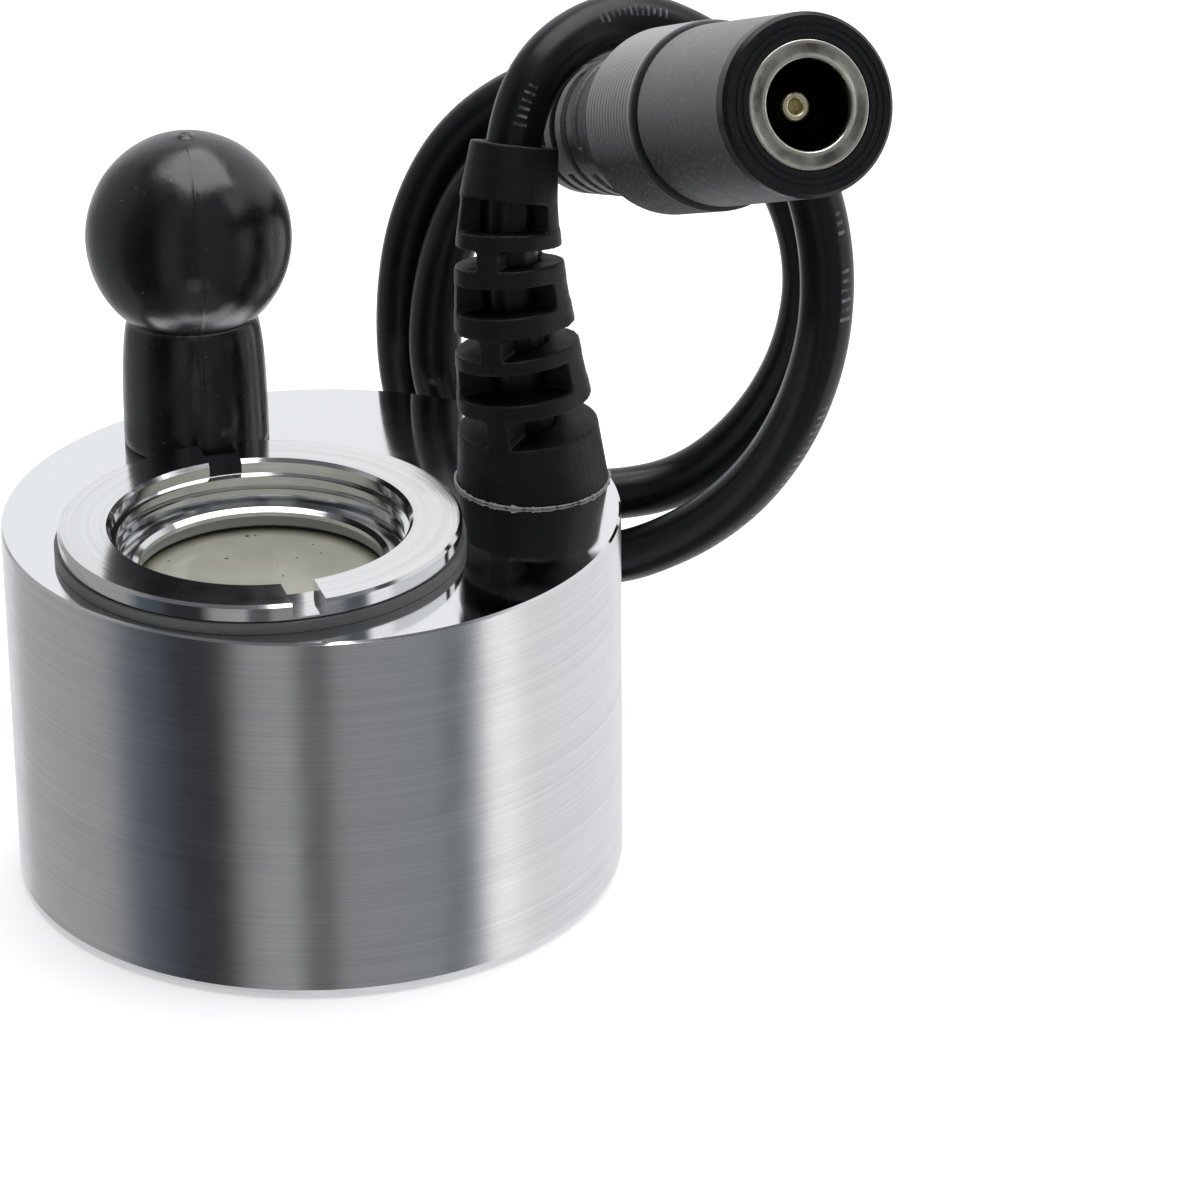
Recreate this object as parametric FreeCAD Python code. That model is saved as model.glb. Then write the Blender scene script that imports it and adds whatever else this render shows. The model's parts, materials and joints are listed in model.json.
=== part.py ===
import FreeCAD, Part
import math
import os

from FreeCAD import Vector

# Ultrasonic mist maker: a chromed puck with a key-turned lock ring over a piezo disc, a
# rubber water sensor, a ribbed cable boot and a short coiled lead to an inline jack.
# Millimetres. The origin is on the puck's axis, in the plane of its base, and +Z is up.

# Puck
BODY_R = 21.0
BODY_H = 26.2
BODY_WALL = 2.0
DECK = 2.0
BASE_CHAMFER = 0.7
RIM_CHAMFER = 0.15

# Lock ring, its well and its thread
RING_X, RING_Y = -3.1, -5.9
FLANGE_R = 13.5
FLANGE_T = 1.2
GASKET_T = 0.7
GASKET_R = 13.75
MOUTH_R = 10.0
THROAT_R = 8.3
RING_DEPTH = 3.5
THREAD_PITCH = 0.75
THREAD_ROOT_R = 11.75
THREAD_HEIGHT = 0.4
THREAD_PLAY = 0.12
THREAD_BASE_W = 0.40
THREAD_CREST_W = 0.20
THREAD_TURNS = 2
THREAD_SUNK = 0.1
GROOVE_SPARE = 0.18
KEY_SLOT_W = 2.25
KEY_SLOT_T = 0.95
KEY_SLOT_AZ = -73.0
WELL_WALL_R = 14.2
WELL_FLOOR_Z = 22.0
WELL_FLOOR_T = 1.2
WELL_HOLE_R = 8.9
SLIP = 0.02

# Piezo disc
DISC_R = 10.0
DISC_T = 1.2
SEAL_R = 11.5
SEAL_LIP_R = 8.45
SEAL_BASE_T = 0.4
ELECTRODE_T = 0.1

# Bottom cover and its screws
COVER_R = 19.3
COVER_STEP_R = 18.2
COVER_T = 1.2
COVER_TOP_Z = 2.4
COVER_SCREWS = 3
COVER_SCREW_AT_R = 16.4
COVER_SCREW_R = 1.2
COVER_SCREW_AZ = 80.0

# Circuit board
BOARD_R = 18.0
BOARD_Z = 6.0
BOARD_T = 1.2
BOARD_TOP = BOARD_Z + BOARD_T
BOARD_SCREW_AT_R = 9.0
BOARD_SCREW_AZ = 0.0
PIN_R = 0.3
COIL_CENTRE = Vector(-10.0, 3.8, 0)
TRANSISTOR = (2.5, -11.0)

# Water sensor
SENSOR_X, SENSOR_Y = -8.6, 12.4
POST_R = 5.0
NECK_R = 4.5
BALL_R = 7.1
BALL_STRETCH = 1.035
BALL_RISE = 15.05
SENSOR_STEM_R = 2.2
PROBE_R = 0.9

# Cable and its boot
CORD_D = 3.8
CORD_R = CORD_D / 2
BOOT_BASE = Vector(14.93, 5.0, BODY_H)
BOOT_AXIS = [
    BOOT_BASE, BOOT_BASE + Vector(-0.3, -0.2, 7.75),
    BOOT_BASE + Vector(-2.4, 0.5, 15.5), BOOT_BASE + Vector(-0.9, 3.4, 23.25),
]
BOOT_LENGTH = 23.75
BOOT_BORE_R = 1.96
BOOT_BASE_R = 5.2
BOOT_FOOT_RISE = 4.2
BOOT_SHOULDER_R = 4.8
BOOT_TOP_R = 3.0
BOOT_WEB = 1.6
BOOT_WEB_TURN = -24.0
BOOT_SIDE_WEB = 29.0
BOOT_SIDE_TURN = -9.0
BOOT_GAPS = [(4.2, 6.0), (7.15, 9.1), (10.05, 11.4), (12.85, 14.6), (15.8, 16.95), (18.05, 19.9)]
BOOT_LAP = 0.3
SPIGOT_R = 2.55
LEAD_IN_SHARE = 0.9

# Inline jack: it takes a 5.5 mm plug with a 2.1 mm bore
JACK_FACE = Vector(32.8, -15.0, 60.5)
JACK_AXIS = Vector(0.373, -0.856, 0.358)
JACK_LENGTH = 38.0
FRONT_T = 1.2
BARREL_R = 5.85
BARREL_END = 14.0
COLLAR_R = 6.25
COLLAR_END = 22.5
COLLAR_RIDGES = 11
TAIL_R = 5.3
TAIL_END_R = 4.3
JACK_BORE_R = 2.9
JACK_SLEEVE_R = 4.15
JACK_PIN_R = 1.0
JACK_PIN_ROOT_R = 1.2
JACK_PIN_BACK = 2.0
JACK_CAVITY = 9.5

# Heights that follow from the dimensions above
DECK_UNDER = BODY_H - DECK
GASKET_Z = BODY_H + SLIP
FLANGE_Z = GASKET_Z + GASKET_T + SLIP
RING_TOP = FLANGE_Z + FLANGE_T
RING_BOTTOM = RING_TOP - RING_DEPTH
DISC_Z = WELL_FLOOR_Z + SEAL_BASE_T
DISC_TOP = DISC_Z + DISC_T
INNER_R = BODY_R - BODY_WALL
WELL_UNDER = WELL_FLOOR_Z - WELL_FLOOR_T
RING_CENTRE = Vector(RING_X, RING_Y, 0)
SENSOR_CENTRE = Vector(SENSOR_X, SENSOR_Y, 0)
CABLE_CENTRE = Vector(BOOT_BASE.x, BOOT_BASE.y, 0)
UP = Vector(0, 0, 1)

# The cord's route, chosen by hand: out of the boot, two loose turns, into the jack's tail.
CORD_ROUTE = [
    (13.683, 7.595, 47.125), (13.831, 8.515, 50.499), (15.9, 10.7, 54.6), (20.1, 14.3, 56.2),
    (24.2, 15.8, 55.3), (29.3, 16.0, 52.0), (33.3, 15.4, 46.8), (35.4, 14.6, 40.2),
    (35.5, 14.4, 33.2), (33.8, 16.0, 26.0), (30.6, 18.6, 19.4), (25.8, 21.4, 14.2),
    (19.6, 23.9, 10.8), (12.9, 25.9, 11.8), (7.9, 27.0, 16.4), (5.5, 27.4, 23.0),
    (5.2, 27.9, 30.0), (6.3, 29.2, 36.4), (9.4, 30.6, 41.8), (14.8, 31.4, 45.4),
    (21.4, 31.3, 46.6), (27.9, 30.3, 44.6), (32.8, 28.9, 39.8), (35.0, 27.8, 33.2),
    (34.2, 27.4, 26.4), (31.0, 27.6, 20.2), (26.0, 27.6, 15.8), (20.0, 26.6, 15.0),
    (14.2, 24.6, 16.6), (9.9, 23.0, 20.6), (7.7, 22.8, 26.4), (8.0, 24.0, 32.6),
    (9.8, 26.6, 38.0), (13.2, 27.0, 42.0), (16.91, 21.47, 45.25), (18.63, 17.53, 46.90),
]


def save(name, shape):
    """Write one sub-part to parts/NAME.step, with faces that lie on one surface merged."""
    shape.removeSplitter().exportStep(os.path.join("parts", name + ".step"))


def turned(profile, centre=Vector(0, 0, 0)):
    """A solid of revolution about the vertical axis through centre, from (radius, z) points."""
    points = [Vector(r, 0, z) for r, z in profile]
    face = Part.Face(Part.makePolygon(points + [points[0]]))
    solid = face.revolve(Vector(0, 0, 0), UP, 360)
    solid.translate(Vector(centre.x, centre.y, 0))
    return solid


def cylinder(radius, low, high, centre=Vector(0, 0, 0)):
    return Part.makeCylinder(radius, high - low, Vector(centre.x, centre.y, low))


def tube(outer, inner, low, high, centre=Vector(0, 0, 0)):
    return cylinder(outer, low, high, centre).cut(cylinder(inner, low - 1, high + 1, centre))


def block(centre, size):
    """A box from its centre and its three side lengths."""
    corner = Vector(centre[0] - size[0] / 2, centre[1] - size[1] / 2, centre[2] - size[2] / 2)
    return Part.makeBox(size[0], size[1], size[2], corner)


def hexagon(across_flats, low, high, centre):
    radius = across_flats / math.sqrt(3)
    corners = [
        Vector(
            centre.x + radius * math.cos(math.radians(60 * i)),
            centre.y + radius * math.sin(math.radians(60 * i)),
            low,
        )
        for i in range(7)
    ]
    return Part.Face(Part.makePolygon(corners)).extrude(Vector(0, 0, high - low))


def on_circle(radius, azimuth, z=0.0, centre=Vector(0, 0, 0)):
    angle = math.radians(azimuth)
    return Vector(centre.x + radius * math.cos(angle), centre.y + radius * math.sin(angle), z)


def aimed(shape, origin, direction):
    """Move a shape that is built along +Z so that it stands at origin and points along direction."""
    moved = shape.copy()
    moved.Placement = FreeCAD.Placement(origin, FreeCAD.Rotation(UP, direction))
    return moved


def joined(shapes):
    result = shapes[0]
    for shape in shapes[1:]:
        result = result.fuse(shape)
    return result


def group(shapes):
    """Separate solids that share one node."""
    return Part.makeCompound(shapes)


def wire_tube(points, radius):
    """A round wire along straight runs joined by tangent arcs."""
    path = run_and_arc_path(points)
    section = Part.Wire(Part.makeCircle(radius, points[0], points[1] - points[0]))
    return path.makePipeShell([section], True, False)


def arc_radius(before, corner, after):
    """The largest arc that two runs leave room for, and half the angle that it turns."""
    first, second = corner - before, after - corner
    half_turn = first.getAngle(second) / 2
    return 0.45 * min(first.Length, second.Length) / math.tan(half_turn), half_turn


def run_and_arc_path(points):
    edges = []
    start = points[0]
    for before, corner, after in zip(points, points[1:], points[2:]):
        radius, half_turn = arc_radius(before, corner, after)
        setback = radius * math.tan(half_turn)
        into = corner + (before - corner).normalize() * setback
        out = corner + (after - corner).normalize() * setback
        inward = ((before - corner).normalize() + (after - corner).normalize()).normalize()
        middle = corner + inward * (radius / math.cos(half_turn) - radius)
        edges.append(Part.LineSegment(start, into).toShape())
        edges.append(Part.Arc(into, middle, out).toShape())
        start = out
    edges.append(Part.LineSegment(start, points[-1]).toShape())
    return Part.Wire(edges)


def helical_ridge(height, base_width, crest_width, low):
    """A thread ridge round the +Z axis: a trapezoid that climbs THREAD_PITCH a turn."""
    helix = Part.makeHelix(THREAD_PITCH, THREAD_PITCH * THREAD_TURNS, THREAD_ROOT_R)
    foot = THREAD_ROOT_R - THREAD_SUNK
    crest = THREAD_ROOT_R + height
    corners = [
        Vector(foot, 0, -base_width / 2),
        Vector(crest, 0, -crest_width / 2),
        Vector(crest, 0, crest_width / 2),
        Vector(foot, 0, base_width / 2),
    ]
    section = Part.makePolygon(corners + [corners[0]])
    ridge = Part.Wire(helix).makePipeShell([section], True, True)
    ridge.translate(Vector(0, 0, low))
    return ridge


# ---------------------------------------------------------------- puck


def housing_shell():
    outside = turned(
        [
            (0, 0), (BODY_R - BASE_CHAMFER, 0), (BODY_R, BASE_CHAMFER),
            (BODY_R, BODY_H - RIM_CHAMFER), (BODY_R - RIM_CHAMFER, BODY_H), (0, BODY_H),
        ]
    )
    hollow = turned(
        [
            (0, -1), (COVER_R + 0.1, -1), (COVER_R + 0.1, COVER_TOP_Z - 0.2),
            (INNER_R, COVER_TOP_Z - 0.2), (INNER_R, DECK_UNDER), (0, DECK_UNDER),
        ]
    )
    shell = outside.cut(hollow)
    lugs = [
        cylinder(2.8, COVER_TOP_Z, 9.0, on_circle(COVER_SCREW_AT_R, azimuth))
        for azimuth in cover_screw_azimuths()
    ]
    well = cylinder(WELL_WALL_R, WELL_UNDER, DECK_UNDER + 0.5, RING_CENTRE)
    envelope = cylinder(INNER_R + 0.5, 1.0, BODY_H - 1.0)
    shell = joined([shell] + [part.common(envelope) for part in lugs + [well]])
    cuts = [
        cylinder(THREAD_ROOT_R + THREAD_PLAY, WELL_FLOOR_Z, BODY_H + 1, RING_CENTRE),
        cylinder(WELL_HOLE_R, WELL_UNDER - 1, WELL_FLOOR_Z + 1, RING_CENTRE),
        cylinder(SENSOR_STEM_R + 0.1, DECK_UNDER - 1, BODY_H + 1, SENSOR_CENTRE),
        cylinder(SPIGOT_R + 0.05, DECK_UNDER - 1, BODY_H + 1, CABLE_CENTRE),
    ]
    for azimuth in cover_screw_azimuths():
        at = on_circle(COVER_SCREW_AT_R, azimuth)
        cuts.append(cylinder(COVER_SCREW_R + SLIP, COVER_TOP_Z - 1, 8.0, at))
    for cut in cuts + thread_grooves():
        shell = shell.cut(cut)
    return shell


def thread_grooves():
    """The well's internal thread: the ring's own ridge, larger by the play, in two stretches."""
    grooves = []
    for i in range(2):
        low = thread_start() + THREAD_PITCH * (THREAD_TURNS * i - 1)
        groove = helical_ridge(
            THREAD_HEIGHT + THREAD_PLAY, THREAD_BASE_W + GROOVE_SPARE, THREAD_CREST_W + GROOVE_SPARE, low
        )
        groove.translate(RING_CENTRE)
        grooves.append(groove)
    return grooves


def thread_start():
    return RING_BOTTOM + 0.35


def cover_screw_azimuths():
    return [COVER_SCREW_AZ + 360 / COVER_SCREWS * i for i in range(COVER_SCREWS)]


def bottom_cover():
    cover = turned(
        [
            (0, 0), (COVER_R, 0), (COVER_R, COVER_T), (COVER_STEP_R, COVER_T),
            (COVER_STEP_R, COVER_TOP_Z), (0, COVER_TOP_Z),
        ]
    )
    for azimuth in cover_screw_azimuths():
        at = on_circle(COVER_SCREW_AT_R, azimuth)
        hole = [(0, -0.1), (2.15, -0.1), (2.15, 0.1), (COVER_SCREW_R + 0.08, 1.0)]
        hole += [(COVER_SCREW_R + 0.08, 3.0), (0, 3.0)]
        cover = cover.cut(turned(hole, at))
    return cover


def bottom_seal():
    return tube(COVER_R + 0.05, COVER_STEP_R + 0.05, COVER_T + 0.02, COVER_TOP_Z - 0.24)


def cover_screws():
    screws = []
    for azimuth in cover_screw_azimuths():
        at = on_circle(COVER_SCREW_AT_R, azimuth)
        profile = [(0, 0.12), (2.05, 0.12), (COVER_SCREW_R, 0.97), (COVER_SCREW_R, 7.4), (0, 7.8)]
        screw = turned(profile, at)
        for size in ((2.4, 0.45, 1.2), (0.45, 2.4, 1.2)):
            screw = screw.cut(block((at.x, at.y, 0.1), size))
        screws.append(screw)
    return group(screws)


# ---------------------------------------------------------------- lock ring and disc


def lock_ring():
    top = RING_TOP
    bore = [
        (MOUTH_R + 0.25, top), (MOUTH_R, top - 0.25), (MOUTH_R, top - 1.0),
        (MOUTH_R - 0.35, top - 1.15), (MOUTH_R - 0.35, top - 1.55),
        (MOUTH_R - 0.05, top - 1.65), (MOUTH_R - 0.05, top - 1.95),
        (MOUTH_R - 0.40, top - 2.05), (MOUTH_R - 0.40, top - 2.45),
        (MOUTH_R - 0.15, top - 2.50), (MOUTH_R - 0.15, top - 2.70),
        (THROAT_R + 0.35, top - 2.95), (THROAT_R, top - 3.2), (THROAT_R, RING_BOTTOM),
    ]
    outside = [
        (THREAD_ROOT_R - 0.25, RING_BOTTOM), (THREAD_ROOT_R, RING_BOTTOM + 0.25),
        (THREAD_ROOT_R, FLANGE_Z), (FLANGE_R - 0.1, FLANGE_Z), (FLANGE_R, FLANGE_Z + 0.1),
        (FLANGE_R, top - 0.2), (FLANGE_R - 0.2, top),
    ]
    ring = turned(bore + outside)
    ridge = helical_ridge(THREAD_HEIGHT, THREAD_BASE_W, THREAD_CREST_W, thread_start())
    ring = ring.fuse(ridge)
    slot = block((0, 0, top), (2 * FLANGE_R + 2, KEY_SLOT_W, 2 * KEY_SLOT_T))
    slot = slot.cut(cylinder(MOUTH_R - 1.5, top - 2, top + 2))
    slot.rotate(Vector(0, 0, 0), UP, KEY_SLOT_AZ)
    ring = ring.cut(slot)
    ring.translate(RING_CENTRE)
    return ring


def flange_gasket():
    inner = THREAD_ROOT_R + THREAD_HEIGHT + 0.15
    return tube(GASKET_R, inner, GASKET_Z, GASKET_Z + GASKET_T, RING_CENTRE)


def disc_seal():
    """A silicone channel that grips the disc's edge, under the foot of the lock ring."""
    top = RING_BOTTOM - 0.05
    return turned(
        [
            (SEAL_LIP_R + 0.35, WELL_FLOOR_Z), (SEAL_R, WELL_FLOOR_Z), (SEAL_R, top),
            (SEAL_LIP_R, top), (SEAL_LIP_R, DISC_TOP + 0.3), (SEAL_LIP_R + 0.45, DISC_TOP),
            (DISC_R, DISC_TOP), (DISC_R, DISC_Z), (SEAL_LIP_R + 0.35, DISC_Z),
        ],
        RING_CENTRE,
    )


def ceramic_disc():
    return turned(
        [
            (0, DISC_Z), (DISC_R - 0.1, DISC_Z), (DISC_R, DISC_Z + 0.1),
            (DISC_R, DISC_TOP - 0.1), (DISC_R - 0.1, DISC_TOP), (0, DISC_TOP),
        ],
        RING_CENTRE,
    )


def centre_electrode():
    return cylinder(5.2, DISC_Z - ELECTRODE_T, DISC_Z, RING_CENTRE)


def rim_electrode():
    return tube(8.75, 6.9, DISC_Z - ELECTRODE_T, DISC_Z, RING_CENTRE)


def contact_carrier():
    """A plastic plug in the well's floor that holds the two contacts under the disc."""
    low = WELL_UNDER - 1.4
    carrier = turned(
        [
            (0, low), (11.0, low), (11.0, WELL_UNDER), (WELL_HOLE_R - 0.05, WELL_UNDER),
            (WELL_HOLE_R - 0.05, WELL_FLOOR_Z - 0.5), (0, WELL_FLOOR_Z - 0.5),
        ],
        RING_CENTRE,
    )
    carrier = carrier.cut(cylinder(1.9, low + 0.6, WELL_FLOOR_Z, RING_CENTRE))
    for x in (-0.3, 7.8):
        lead_hole = cylinder(PIN_R + 0.05, low - 1, WELL_FLOOR_Z, RING_CENTRE + Vector(x, 0, 0))
        carrier = carrier.cut(lead_hole)
    return carrier


def contact_spring():
    """A compression spring from the carrier to the disc's centre electrode."""
    low, high = WELL_UNDER - 0.6, DISC_Z - ELECTRODE_T - 0.02
    wire_r, coil_r, turns = 0.16, 1.35, 4
    rise = high - low - 2 * wire_r
    helix = Part.makeHelix(rise / turns, rise, coil_r)
    section = Part.Wire(Part.makeCircle(wire_r, Vector(coil_r, 0, 0), Vector(0, 1, 0)))
    spring = Part.Wire(helix).makePipeShell([section], True, True)
    spring.translate(RING_CENTRE + Vector(0, 0, low + wire_r))
    return spring


def rim_contact():
    """A brass ring with three raised pads that touch the disc's rim electrode."""
    low = WELL_FLOOR_Z - 0.5
    ring = tube(8.5, 7.1, low, low + 0.3, RING_CENTRE)
    pads = [
        cylinder(0.6, low, DISC_Z - ELECTRODE_T - 0.01, on_circle(7.8, azimuth, 0, RING_CENTRE))
        for azimuth in (60, 180, 300)
    ]
    return joined([ring] + pads)


# ---------------------------------------------------------------- circuit board


def board_screw_points():
    return [on_circle(BOARD_SCREW_AT_R, BOARD_SCREW_AZ + 120 * i) for i in range(3)]


def circuit_board():
    board = cylinder(BOARD_R, BOARD_Z, BOARD_TOP)
    for azimuth in cover_screw_azimuths():
        board = board.cut(cylinder(3.2, 0, 10, on_circle(COVER_SCREW_AT_R, azimuth)))
    for point in board_screw_points():
        board = board.cut(cylinder(1.1, 0, 10, point))
    return board


def board_standoffs():
    posts = []
    for point in board_screw_points():
        post = hexagon(4.4, COVER_TOP_Z, BOARD_Z, point)
        posts.append(post.cut(cylinder(0.97, COVER_TOP_Z + 0.6, BOARD_Z + 1, point)))
    return group(posts)


def board_screws():
    screws = []
    for point in board_screw_points():
        profile = [
            (0, 3.4), (0.95, 3.8), (0.95, BOARD_TOP), (1.8, BOARD_TOP), (1.8, BOARD_TOP + 0.9),
            (1.4, BOARD_TOP + 1.2), (0, BOARD_TOP + 1.2),
        ]
        slot = block((point.x, point.y, BOARD_TOP + 1.2), (4.0, 0.5, 1.0))
        screws.append(turned(profile, point).cut(slot))
    return group(screws)


def power_transistor():
    x, y = TRANSISTOR
    body = block((x, y, BOARD_TOP + 6.7), (10.0, 4.4, 9.0))
    legs = [block((x + dx, y, BOARD_TOP + 1.1), (0.8, 0.5, 2.2)) for dx in (-2.54, 0, 2.54)]
    return joined([body] + legs)


def heat_tab():
    """The transistor's metal tab, with a foot that lies on the board."""
    x, y = TRANSISTOR
    plate = block((x, y - 2.95, BOARD_TOP + 5.6), (10.0, 1.5, 11.2))
    foot = block((x, y - 1.9, BOARD_TOP + 0.4), (9.0, 1.0, 0.8))
    return joined([plate, foot])


def coil_core():
    low = BOARD_TOP
    return turned(
        [
            (0, low), (4.6, low), (4.6, low + 1.0), (1.8, low + 1.0), (1.8, low + 6.5),
            (4.6, low + 6.5), (4.6, low + 7.5), (0, low + 7.5),
        ],
        COIL_CENTRE,
    )


def coil_winding():
    """Enamelled wire on the drum core: a sleeve with one shallow valley between two turns."""
    low, pitch, turns = BOARD_TOP + 1.05, 0.54, 10
    profile = [(1.85, low), (3.9, low)]
    for i in range(turns):
        profile.append((4.15, low + pitch * (i + 0.5)))
        profile.append((3.9, low + pitch * (i + 1)))
    profile.append((1.85, low + pitch * turns))
    return turned(profile, COIL_CENTRE)


def film_capacitors():
    bodies = []
    for x, y in ((1.2, 10.8), (7.6, 8.8)):
        body = block((x, y, BOARD_TOP + 4.4), (5.6, 3.2, 7.4))
        body = body.makeFillet(0.5, body.Edges)
        leads = [cylinder(PIN_R, BOARD_TOP, BOARD_TOP + 1.2, Vector(x + dx, y, 0)) for dx in (-2, 2)]
        bodies.append(joined([body] + leads))
    return group(bodies)


def electrolytic_capacitor():
    at = Vector(0.5, 1.5, 0)
    low = BOARD_TOP
    return turned(
        [
            (0, low), (3.0, low), (3.15, low + 0.3), (3.15, low + 0.9), (2.95, low + 1.1),
            (3.15, low + 1.4), (3.15, low + 10.2), (2.9, low + 10.5), (0, low + 10.5),
        ],
        at,
    )


def resistors():
    """Axial resistors that stand on their bent leads."""
    result = []
    for x, y in ((13.2, -5.2), (13.2, -2.8), (13.2, -0.4), (13.2, 2.0)):
        low = BOARD_TOP
        profile = [
            (0, low), (0.3, low), (0.3, low + 1.0), (0.9, low + 1.3), (0.95, low + 2.2),
            (0.8, low + 2.6), (0.8, low + 5.0), (0.95, low + 5.4), (0.9, low + 6.3),
            (0.3, low + 6.6), (0.3, low + 7.2), (0, low + 7.2),
        ]
        result.append(turned(profile, Vector(x, y, 0)))
    return group(result)


def trimmer():
    x, y = -8.3, -11.2
    body = block((x, y, BOARD_TOP + 2.0), (4.4, 4.4, 4.0))
    dial = cylinder(1.6, BOARD_TOP + 4.0, BOARD_TOP + 4.5, Vector(x, y, 0))
    slot = block((x, y, BOARD_TOP + 4.5), (2.6, 0.5, 0.7))
    return joined([body, dial]).cut(slot)


def reverse_diode():
    return joined(
        [
            cylinder(1.3, BOARD_TOP + 1.0, BOARD_TOP + 5.0, Vector(4.2, -3.0, 0)),
            cylinder(PIN_R, BOARD_TOP, BOARD_TOP + 6.2, Vector(4.2, -3.0, 0)),
        ]
    )


def disc_leads():
    """Two stiff leads from the board up into the contact carrier."""
    high = WELL_FLOOR_Z - 0.52
    leads = []
    for dx in (-0.3, 7.8):
        top = WELL_UNDER - 0.82 if dx < 0 else high
        leads.append(cylinder(PIN_R, BOARD_TOP, top, RING_CENTRE + Vector(dx, 0, 0)))
    return group(leads)


# ---------------------------------------------------------------- water sensor


def sensor_cap():
    """A rubber cap: a slightly barrelled post, a neck and a ball with a small moulding nub."""
    base = BODY_H + SLIP
    ball_z = BODY_H + BALL_RISE
    ball_top = ball_z + BALL_R * BALL_STRETCH
    ellipse = Part.Ellipse(Vector(0, 0, ball_top), Vector(BALL_R, 0, ball_z), Vector(0, 0, ball_z))
    neck_z = ball_z - BALL_STRETCH * math.sqrt(BALL_R**2 - NECK_R**2)
    nub_r, nub_rise = 0.5, 0.15
    nub_z = ball_z + BALL_STRETCH * math.sqrt(BALL_R**2 - nub_r**2)
    ends = [ellipse.parameter(Vector(r, 0, z)) for r, z in ((nub_r, nub_z), (NECK_R, neck_z))]
    outline = [
        Part.LineSegment(Vector(0, 0, base), Vector(POST_R + 0.05, 0, base)),
        Part.Arc(
            Vector(POST_R + 0.05, 0, base),
            Vector(POST_R, 0, base + 4.6),
            Vector(NECK_R, 0, neck_z),
        ),
        Part.ArcOfEllipse(ellipse, min(ends), max(ends)),
        Part.LineSegment(Vector(nub_r, 0, nub_z), Vector(nub_r, 0, nub_z + nub_rise)),
        Part.LineSegment(Vector(nub_r, 0, nub_z + nub_rise), Vector(0, 0, nub_z + nub_rise)),
        Part.LineSegment(Vector(0, 0, nub_z + nub_rise), Vector(0, 0, base)),
    ]
    wire = Part.Wire([curve.toShape() for curve in outline])
    cap = Part.Face(wire).revolve(Vector(0, 0, 0), UP, 360)
    cap.translate(SENSOR_CENTRE)
    cap = cap.cut(cylinder(SENSOR_STEM_R + 0.03, base - 1, BODY_H + 9.0, SENSOR_CENTRE))
    return cap.cut(cylinder(PROBE_R + 0.03, base, ball_z + 0.5, SENSOR_CENTRE))


def sensor_stem():
    return tube(SENSOR_STEM_R, PROBE_R + 0.02, 21.6, BODY_H + 8.9, SENSOR_CENTRE)


def sensor_nut():
    nut = hexagon(6.4, DECK_UNDER - 1.9, DECK_UNDER - 0.3, SENSOR_CENTRE)
    return nut.cut(cylinder(SENSOR_STEM_R + 0.02, 20, 30, SENSOR_CENTRE))


def sensor_washer():
    return tube(3.4, SENSOR_STEM_R + 0.02, DECK_UNDER - 0.3, DECK_UNDER, SENSOR_CENTRE)


def sensor_probe():
    top = BODY_H + BALL_RISE
    return turned([(0, 20.6), (PROBE_R, 20.6), (PROBE_R, top - 0.4), (0, top + 0.2)], SENSOR_CENTRE)


def sensor_lead():
    """A short insulated wire from the probe's foot to the board."""
    points = [
        Vector(SENSOR_X, SENSOR_Y, 20.6), Vector(SENSOR_X, SENSOR_Y, 16.5),
        Vector(-6.0, 11.4, 12.5), Vector(-6.0, 11.4, BOARD_TOP),
    ]
    return wire_tube(points, 0.45)


# ---------------------------------------------------------------- cable boot


def boot_radius(height):
    """The boot's outer radius: it tapers quickly over its foot and slowly above it."""
    if height < BOOT_FOOT_RISE:
        return BOOT_BASE_R - (BOOT_BASE_R - BOOT_SHOULDER_R) * height / BOOT_FOOT_RISE
    above = (height - BOOT_FOOT_RISE) / (BOOT_LENGTH - BOOT_FOOT_RISE)
    return BOOT_SHOULDER_R - (BOOT_SHOULDER_R - BOOT_TOP_R) * above


def boot_point(share):
    """A point on the boot's curved axis, from its foot at 0 to its top at 1."""
    rest = 1 - share
    weights = [rest**3, 3 * share * rest**2, 3 * share**2 * rest, share**3]
    total = Vector(0, 0, 0)
    for corner, weight in zip(BOOT_AXIS, weights):
        total = total + corner * weight
    return total


def on_boot(shape, height):
    """Stand a shape that is built round z = 0 on the boot's axis, at a height along it."""
    share = height / BOOT_LENGTH
    heading = boot_point(share + 0.01) - boot_point(share - 0.01)
    return aimed(shape, boot_point(share), heading)


def boot_slice(low, high, inset=0.0):
    """A tapered disc of the boot, built round z = 0."""
    tall = high - low
    return Part.makeCone(boot_radius(low) - inset, boot_radius(high) - inset, tall, Vector(0, 0, -tall / 2))


def side_webs(low, high):
    """Two sectors of a slice, at the boot's left and right."""
    far = BOOT_BASE_R + 1
    spread = math.radians(BOOT_SIDE_WEB)
    tall = high - low
    webs = []
    for side in (-1, 1):
        reach = Vector(side * far, math.tan(spread) * far, -tall)
        corners = [Vector(0, 0, -tall), reach, Vector(reach.x, -reach.y, -tall)]
        wedge = Part.Face(Part.makePolygon(corners + [corners[0]])).extrude(Vector(0, 0, 2 * tall))
        wedge.rotate(Vector(0, 0, 0), UP, BOOT_SIDE_TURN)
        webs.append(boot_slice(low, high, 0.05).common(wedge))
    return webs


def cross_web(low, high):
    """A narrow web across a slice, from the boot's front to its back."""
    web = block((0, 0, 0), (BOOT_WEB, 4 * BOOT_BASE_R, 2 * (high - low)))
    web.rotate(Vector(0, 0, 0), UP, BOOT_WEB_TURN)
    return [boot_slice(low, high, 0.05).common(web)]


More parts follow.
